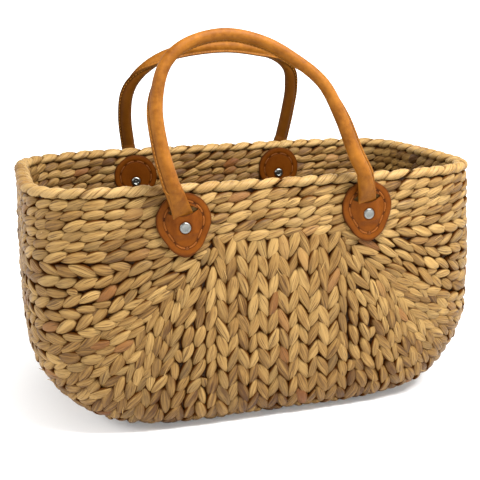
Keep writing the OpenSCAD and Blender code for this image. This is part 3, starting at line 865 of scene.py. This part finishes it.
def patch_height(x, y, outer):
    """Height of the leather's face above the weave."""
    h = np.full_like(x, 2.3)
    if outer:
        # a bulge over the strap's tail, and a dish round the rivet
        side = smooth((SLOT_HALF - np.abs(x)) / 7.0)
        down = smooth((y + 11.5) / 6.0)
        above = smooth((15.5 + 0.02 * x * x - y) / 2.0)
        h = h + 2.9 * side * down * above + 0.35 * side * down * above * smooth((y - 4) / 6)
        h = h - 0.55 * np.exp(-((np.hypot(x, y) / 6.4) ** 4))
    else:
        h = h - 0.5 * np.exp(-((np.hypot(x, y) / 7.0) ** 4))
    # the stitches lie in a groove, and the leather swells a little beside it
    edge = egg_distance(x, y)
    h = h - 0.55 * bell(edge, -SEAM_INSET, 1.1)
    h = h + 0.15 * bell(edge, -4.0, 1.8)
    return h - 0.25 * smooth((edge + 2.5) / 2.5)


def stitch_line():
    """Places along the closed line of stitches, from the patch's lowest point, and the stitches' pitch."""
    th = ring_angles(720) - np.pi / 2
    r = egg_radius(th, 0.0, SEAM_INSET)
    p = np.stack([r * np.cos(th), r * np.sin(th)], 1)
    p = np.concatenate([p, p[:1]])
    s = arc_length(p)
    return lambda d: sample(d % s[-1], s, p), s[-1] / STITCHES


def patch(name, side, end, outer):
    f = rivet_frame(side, end, True)
    at, pitch = stitch_line()
    holes = np.concatenate([at(np.arange(STITCHES) * pitch + d) for d in (HOLE_GAP, pitch - HOLE_GAP)])
    n = 168
    th = ring_angles(n) + np.pi / 2
    cy = 14.0 if outer else 0.0

    def in_slot(r):
        """Inside the crescent slot, a lens between two arcs."""
        x, y = r * np.cos(th), cy + r * np.sin(th)
        k = np.clip(np.abs(x) / SLOT_HALF, 0, 1.2)
        return (y > LIP_Y + 3.4 * k * k) & (y < SLOT_TOP - 4.2 * k * k) & (np.abs(x) < SLOT_HALF)

    # rin runs round the slot, or the rivet's bore in an inner patch
    rin = np.maximum(farthest(in_slot, np.zeros(n), np.full(n, 20.0)), 0.8) if outer else np.full(n, 2.4)
    rout = egg_radius(th, cy, 0.0)
    if outer:
        # a small tip at the lowest point
        rout = rout + 1.5 * bell(th, 3 * np.pi / 2, 0.16)
    rout = rout * (1 + 0.006 * np.sin(5 * th + side + 2 * end) + 0.004 * np.sin(9 * th + 2 * side))
    fractions = [0.0, 0.006, 0.02, 0.045, 0.075, *np.linspace(0.105, 0.94, 30), 0.965, 0.982, 0.993, 1.0]
    # the cut edges are rounded
    drops = [-0.55, -0.18, *np.zeros(len(fractions) - 5), -0.12, -0.42, -0.95]
    rings, wear = [], []
    for fr, drop in zip(fractions, drops):
        r = rin + (rout - rin) * fr
        x, y = r * np.cos(th), cy + r * np.sin(th)
        rings.append(np.stack([x, y, patch_height(x, y, outer) + drop], 1))
        # the cut edges are worn darker; painted shade darkens the stitch groove, the stitch holes and a ring
        # round the rivet's head
        distance = egg_distance(x, y)
        edge = np.maximum(smooth((distance + 2.2) / 2.2), smooth(1 - fr / 0.05) * (0.8 if outer else 0.2))
        groove = 0.75 * bell(distance, -SEAM_INSET, 1.15)
        to_holes = np.hypot(x[:, None] - holes[None, :, 0], y[:, None] - holes[None, :, 1])
        hole = bell(np.min(to_holes, 1), 0, 0.9)
        rivet_shade = 0.85 * bell(np.hypot(x, y), 5.3, 0.9)
        wear.append(np.clip(edge * 0.75 + groove + hole + rivet_shade, 0, 1))
    for fr in (1.0, 0.66, 0.33, 0.0):
        r = rin + (rout - rin) * fr
        x, y = r * np.cos(th), cy + r * np.sin(th)
        rings.append(np.stack([x, y, np.full(n, -0.8)], 1))
        wear.append(np.full(n, 0.9))
    grid = np.array(rings)
    if outer:
        # the underside follows the bulge so that the strap's tail has its own room
        for k in (1, 2, 3, 4):
            x, y = grid[-k][:, 0], grid[-k][:, 1]
            grid[-k][:, 2] = np.minimum(patch_height(x, y, True) - 2.6, grid[-k][:, 2] + 3.4)
    else:
        grid[..., 2] = inward(grid[..., 2])
    parts = Parts()
    patina = [[0.0 if outer else INNER_PATCH_SHADE]]
    parts.grid(place(grid, f), close_rows=True, wear=np.array(wear), patina=patina)
    return parts.build(name, PATCH_LEATHER)


def stitching(name, side, end):
    f = rivet_frame(side, end, True)
    at, pitch = stitch_line()
    parts = Parts()
    for outer in (True, False):
        for i in range(STITCHES):
            xy = at(np.linspace(i * pitch + HOLE_GAP, (i + 1) * pitch - HOLE_GAP, 11))
            lift = 0.42 * np.sin(np.pi * np.linspace(0, 1, 11)) ** 0.5
            h = patch_height(xy[:, 0], xy[:, 1], outer) + lift - 0.25
            h[[0, -1]] -= 0.9
            path = np.column_stack([xy, h if outer else inward(h)])
            capsule(parts, place(path, f), 0.72, patina=[[0.0 if outer else INNER_PATCH_SHADE]])
    # a small knot ends the thread at the lowest hole
    t = np.linspace(-1.0, 1.0, 7)
    x, y = at(np.zeros(7)).T
    for dx, turn in ((-0.5, 0.7), (0.6, -0.6), (0.0, 0.1)):
        knot = np.stack([x + dx + t * math.sin(turn) * 1.6, y + t * math.cos(turn) * 1.9,
                         patch_height(x, y, True) + 0.55 * (1 - t * t)], 1)
        capsule(parts, place(knot, f), 0.6, patina=[[0.5]])
    return parts.build(name, PATCH_THREAD)


def lathe(name, profile, f, wobble=0.0):
    """A metal piece turned about the rivet's axis from (radius, height) pairs."""
    radius, height = np.array(profile, float).T[:, :, None]
    th = ring_angles(48)[None, :]
    r = radius * (1 + wobble * np.sin(6 * th))
    parts = Parts()
    v = np.stack([r * np.cos(th), r * np.sin(th), np.broadcast_to(height, r.shape)], -1)
    parts.grid(place(v, f), caps=True, flip=True)
    return parts.build(name, METAL)


def rivet(name, side, end):
    face, shank_end = 4.35, -WALL - 2.0
    head = [(4.3, -0.1), (4.75, 0.05), (5.0, 0.4), (4.95, 0.8), (4.6, 1.15), (4.0, 1.42), (3.4, 1.52),
            (2.9, 1.40), (2.3, 1.14), (1.5, 1.00), (0.7, 0.96), (0.05, 0.95)]
    shank = [(0.3, shank_end), (2.3, shank_end), (2.3, face)]
    return lathe(name, shank + [(r, face + h) for r, h in head], rivet_frame(side, end))


def rivet_ring(name, side, end):
    seat = -WALL - 2.1
    ring = [(2.32, 0.8), (5.0, 0.1), (5.25, -0.25), (5.1, -0.8), (4.5, -1.35), (3.7, -1.6), (3.0, -1.5),
            (2.5, -1.1), (2.2, -0.5), (1.9, 0.4)]
    return lathe(name, [(r, seat + h) for r, h in ring], rivet_frame(side, end), wobble=0.012)


for s_name, side in SIDES.items():
    for e_name, end in ENDS.items():
        tag = f"{s_name}_{e_name}"
        for ob, nodes, slot in (
            (patch(f"leather_outer_{tag}", side, end, True), f"outer_patch_{tag}", "patch_leather"),
            (patch(f"leather_inner_{tag}", side, end, False), f"inner_patch_{tag}", "patch_leather"),
            (stitching(f"long_stitches_{tag}", side, end), f"stitching_{tag}", "thread"),
            (rivet(f"rivet_head_{tag}", side, end), f"rivet_{tag}", "rivet_metal"),
            (rivet_ring(f"crimped_ring_{tag}", side, end), f"rivet_ring_{tag}", "rivet_metal"),
        ):
            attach(ob, "basket")
            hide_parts(nodes)

# ---- Handles: one sweep from the tail under one patch, through its mouth and over the arch to the other ----

FRONT_ARCH = [(-101.5, 240), (-108, 270), (-110, 305), (-100, 337), (-78, 355.5), (-44, 363),
              (-10, 356), (18, 340.5), (45, 319), (60.5, 290), (72, 257), (79.5, 240)]
BACK_ARCH = [(-92, 240), (-95, 270), (-92, 299), (-79, 320), (-53, 337), (-20, 346),
             (30, 349), (80, 340), (104, 324), (109, 299), (106, 269), (101, 240)]
# height above the rivet, distance from the skin, half width, half thickness, roundness of the section
STRAP = [(-5, 1.2, 7.5, 1.2, 0.0), (1, 1.2, 9.0, 1.2, 0.0), (7, 1.4, 9.5, 1.3, 0.0),
         (11.5, 2.8, 9.4, 1.5, 0.0), (16, 5.2, 9.2, 2.2, 0.12), (22, 8.1, 8.9, 3.4, 0.38),
         (29, 10.7, 8.6, 4.8, 0.66), (36, 12.3, 8.3, 5.8, 0.86)]
STRAP_FREE = 7.0  # height above the rivet from which the strap shifts sideways to the arch's foot
ROLL = 8.0  # half size of the roll in its section's own numbers
SEAM_START, SEAM_STEP = 46.0, 3.6
CORD_START, CORD_RADIUS = 52.0, 4.4


def catmull(points, n):
    p = np.concatenate([2 * points[:1] - points[1:2], points, 2 * points[-1:] - points[-2:-1]])
    out = []
    for i in range(1, len(p) - 2):
        a, b, c, d = p[i - 1], p[i], p[i + 1], p[i + 2]
        for t in np.arange(n) / n:
            out.append(b + (c - a) * t / 2 + (2 * a - 5 * b + 4 * c - d) * t * t / 2
                       + (3 * b - a - 3 * c + d) * t**3 / 2)
    out.append(p[-2])
    return np.array(out)


def handle_line(arch, side):
    """Stations of the whole handle: place, half width, half thickness and roundness."""
    rows = []
    for end, foot in ((-1, arch[0]), (1, arch[-1])):
        f = rivet_frame(side, end)
        part = []
        for y, d, w, h, k in STRAP:
            shift = (foot[0] - end * RIVET_X) * max(0.0, y - STRAP_FREE) / (PIVOT_Z - RIVET_Z - STRAP_FREE)
            p = place(np.array([shift * -side, y, d]), f)
            part.append([*p, w, h, k])
        rows.append(part)
    middle = [[x, side * (PIVOT_Y - LEAN * (z - PIVOT_Z)), z, 8.0, 7.0, 1.0] for x, z in arch]
    return catmull(np.array(rows[0] + middle + rows[1][::-1], float), 10)


def round_profile(r):
    """Section of the roll: a tube with its two leather edges stitched together in a flange at +a."""
    c, tube = -1.35, 6.65
    pts = [(8.05, 0.0), (7.95, 0.75), (7.55, 1.30), (6.8, 1.48), (6.0, 1.52), (5.35, 1.72)]
    for deg in (22, 34, 47, 61, 76, 91, 107, 123, 140, 158, 176):
        a = math.radians(deg)
        pts.append((c + tube * math.cos(a), tube * math.sin(a)))
    lower = [(x, -y) for x, y in pts[:0:-1]]
    return np.array(pts + lower) * r / ROLL


def flat_profile(ref, w, h):
    """Section of the flat strap, with a point for each one of ref."""
    angle = np.arctan2(ref[:, 1], ref[:, 0])
    c, s = np.cos(angle), np.sin(angle)
    return np.stack([w * np.sign(c) * np.abs(c) ** 0.45, h * np.sign(s) * np.abs(s) ** 0.55], 1)


def handle_frames(line, side):
    """Centre line, and the directions out from the arch's middle and in over the basket."""
    c = line[:, :3]
    along = unit(np.gradient(c, axis=0))
    plane = unit(np.array([0, 1.0, side * LEAN]))
    out = unit(np.cross(along, plane))
    return c, out, -side * np.cross(out, along)


def seam_turn(line):
    """How far the seam has turned about the roll at each station, and the stations' places along it."""
    s = arc_length(line[:, :3])
    t = s / s[-1]
    half = np.minimum(t, 1 - t) * 2
    return np.radians(135) * smooth((half - 0.40) / 0.42), s


def handle(s_name, arch, side):
    line = handle_line(arch, side)
    c, out, inner = handle_frames(line, side)
    psi, s = seam_turn(line)
    mid = ROLL - (1.6 if side < 0 else 0.2) * np.sin(np.pi * np.clip((s / s[-1] - 0.1) / 0.8, 0, 1))
    ref = round_profile(ROLL)
    rings, wear = [], []
    for i in range(len(line)):
        w, h, k = line[i, 3:6]
        k = min(max(k, 0), 1)
        prof = flat_profile(ref, w, h) * (1 - k) + round_profile(mid[i]) * k
        g = out[i] * math.cos(psi[i]) + inner[i] * math.sin(psi[i])
        b = -out[i] * math.sin(psi[i]) + inner[i] * math.cos(psi[i])
        rings.append(c[i] + prof[:, :1] * g + prof[:, 1:] * b)
        # the flange's edge is worn, and painted shade darkens the grooves of the folds beside it
        e = np.zeros(len(prof))
        e[0], e[1], e[-1] = 0.85, 0.5, 0.5
        e[5] = e[-5] = 0.60 * k
        e[4] = e[-4] = 0.35 * k
        wear.append(e)
    parts = Parts()
    # painted shade: the back handle's legs are darker and duller than its top
    legs = smooth((np.abs(2 * s / s[-1] - 1) - 0.28) / 0.20)[:, None]
    patina = legs * (0.95 if side > 0 else 0.0)
    parts.grid(np.array(rings), caps=True, flip=side < 0, wear=np.array(wear), patina=patina)
    roll = parts.build(f"leather_handle_{s_name}", HANDLE_LEATHER)

    seam = Parts()
    for d in np.arange(SEAM_START, s[-1] - SEAM_START, SEAM_STEP):
        dd = np.array([d, d + 0.5, d + 1.2, d + 1.9, d + 2.4])
        cc, oo, ii = (sample(dd, s, v) for v in (c, out, inner))
        ps = np.interp(dd, s, psi)[:, None]
        r = np.interp(dd, s, mid)[:, None] / ROLL
        g, b = oo * np.cos(ps) + ii * np.sin(ps), -oo * np.sin(ps) + ii * np.cos(ps)
        lift = np.array([-0.5, 0.1, 0.25, 0.1, -0.5])[:, None]
        for way in (1, -1):
            capsule(seam, cc + g * 6.55 * r + b * way * (1.48 * r + lift), 0.36, sides=6)
    thread = seam.build(f"seam_stitches_{s_name}", SEAM_THREAD)

    keep = (s > CORD_START) & (s < s[-1] - CORD_START)
    core = Parts()
    th = ring_angles(18)
    twist = s[keep][:, None] * 0.35
    rr = CORD_RADIUS + 0.25 * np.cos(3 * (th[None, :] + twist))
    cc = (c - out * 1.1 * np.cos(psi)[:, None] - inner * 1.1 * np.sin(psi)[:, None])[keep]
    v = cc[:, None, :] + rr[..., None] * (out[keep][:, None, :] * np.cos(th)[None, :, None]
                                          + inner[keep][:, None, :] * np.sin(th)[None, :, None])
    core.grid(v, caps=True, flip=side < 0)
    cord = core.build(f"cord_filling_{s_name}", CORD)

    for ob, nodes, slot in (
        (roll, [f"strap_end_{s_name}_left", f"strap_end_{s_name}_right", f"handle_roll_{s_name}"],
         "handle_leather"),
        (thread, [f"handle_thread_{s_name}"], "thread"),
        (cord, [f"handle_core_{s_name}"], "cord"),
    ):
        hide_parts(*nodes)
        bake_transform(ob)


handle("front", FRONT_ARCH, -1)
handle("back", BACK_ARCH, 1)

# ---- Floor, light and camera ----

scene = bpy.context.scene
scene.view_settings.view_transform = "Standard"
scene.view_settings.look = "None"


def floor_material():
    """Matt pale floor, which glows more far from the lights, and less beside the basket's base."""
    sh = Shader("pale_floor")
    coord = sh.coord()
    oval = sh.node(
        "ShaderNodeVectorMath", {0: coord, 1: (0.9, 1.0, 1.0), 2: (-0.018, 0.0, 0.0)},
        operation="MULTIPLY_ADD").outputs["Vector"]
    away, beside = (
        sh.node("ShaderNodeVectorMath", {0: v}, operation="LENGTH").outputs["Value"] for v in (coord, oval))
    glow = sh.mul(sh.span(away, 0.3, 1.6), 0.62)
    glow = sh.add(glow, sh.mul(sh.span(beside, 0.17, 0.27), 0.27))
    return sh.surface({
        "Base Color": (0.80, 0.80, 0.80), "Emission Color": (1, 1, 1),
        "Emission Strength": sh.add(glow, 0.13), "Roughness": 0.9, "Specular IOR Level": 0.1})


def cove():
    """A round pale floor whose rim curves up, so that no horizon shows from any side."""
    flat, curve, top = 2600, 1000, 1900
    bend = np.linspace(0, np.pi / 2, 15)
    radius = np.concatenate([np.linspace(1, flat, 12), flat + curve * np.sin(bend[1:]), [flat + curve]])
    height = np.concatenate([np.zeros(12), curve * (1 - np.cos(bend[1:])), [top]])
    a = ring_angles(96)
    v = np.stack([radius[:, None] * np.cos(a), radius[:, None] * np.sin(a),
                  np.broadcast_to(height[:, None], (len(radius), 96))], -1)
    parts = Parts()
    parts.grid(v)
    return parts.build("floor", floor_material())


cove()

world = bpy.data.worlds.new("studio")
world.use_nodes = True
world.node_tree.nodes["Background"].inputs["Color"].default_value = (1, 1, 1, 1)
world.node_tree.nodes["Background"].inputs["Strength"].default_value = 0.20
scene.world = world


def softbox(name, place_mm, aim_mm, size_mm, power):
    data = bpy.data.lights.new(name, "AREA")
    data.shape = "DISK"
    data.size = size_mm * MM
    data.energy = power
    ob = bpy.data.objects.new(name, data)
    scene.collection.objects.link(ob)
    p, a = np.array(place_mm, float) * MM, np.array(aim_mm, float) * MM
    z = unit(p - a)
    x = unit(np.cross((0, 0, 1), z))
    y = np.cross(z, x)
    ob.matrix_world = Matrix([[x[k], y[k], z[k], p[k]] for k in range(3)] + [[0, 0, 0, 1]])


softbox("key", (640, -620, 1020), (0, 0, 130), 380, 18)
softbox("left", (-1250, -250, 800), (0, 0, 120), 600, 12)
softbox("top", (100, -340, 860), (0, 0, 150), 420, 14)

# the camera that was fitted to the photo
yaw, pitch, roll = 0.2789, -0.2381, -0.0158
forward = np.array([math.sin(yaw) * math.cos(pitch), math.cos(yaw) * math.cos(pitch), math.sin(pitch)])
right0 = np.array([math.cos(yaw), -math.sin(yaw), 0])
up0 = np.cross(right0, forward)
right = right0 * math.cos(roll) + up0 * math.sin(roll)
up = up0 * math.cos(roll) - right0 * math.sin(roll)
eye = np.array([-243.75, -859.22, 364.43]) * MM
lens = bpy.data.cameras.new("camera")
lens.sensor_width = 36
lens.lens = 63.93
camera = bpy.data.objects.new("camera", lens)
camera.matrix_world = Matrix([[right[k], up[k], -forward[k], eye[k]] for k in range(3)] + [[0, 0, 0, 1]])
scene.collection.objects.link(camera)
scene.camera = camera
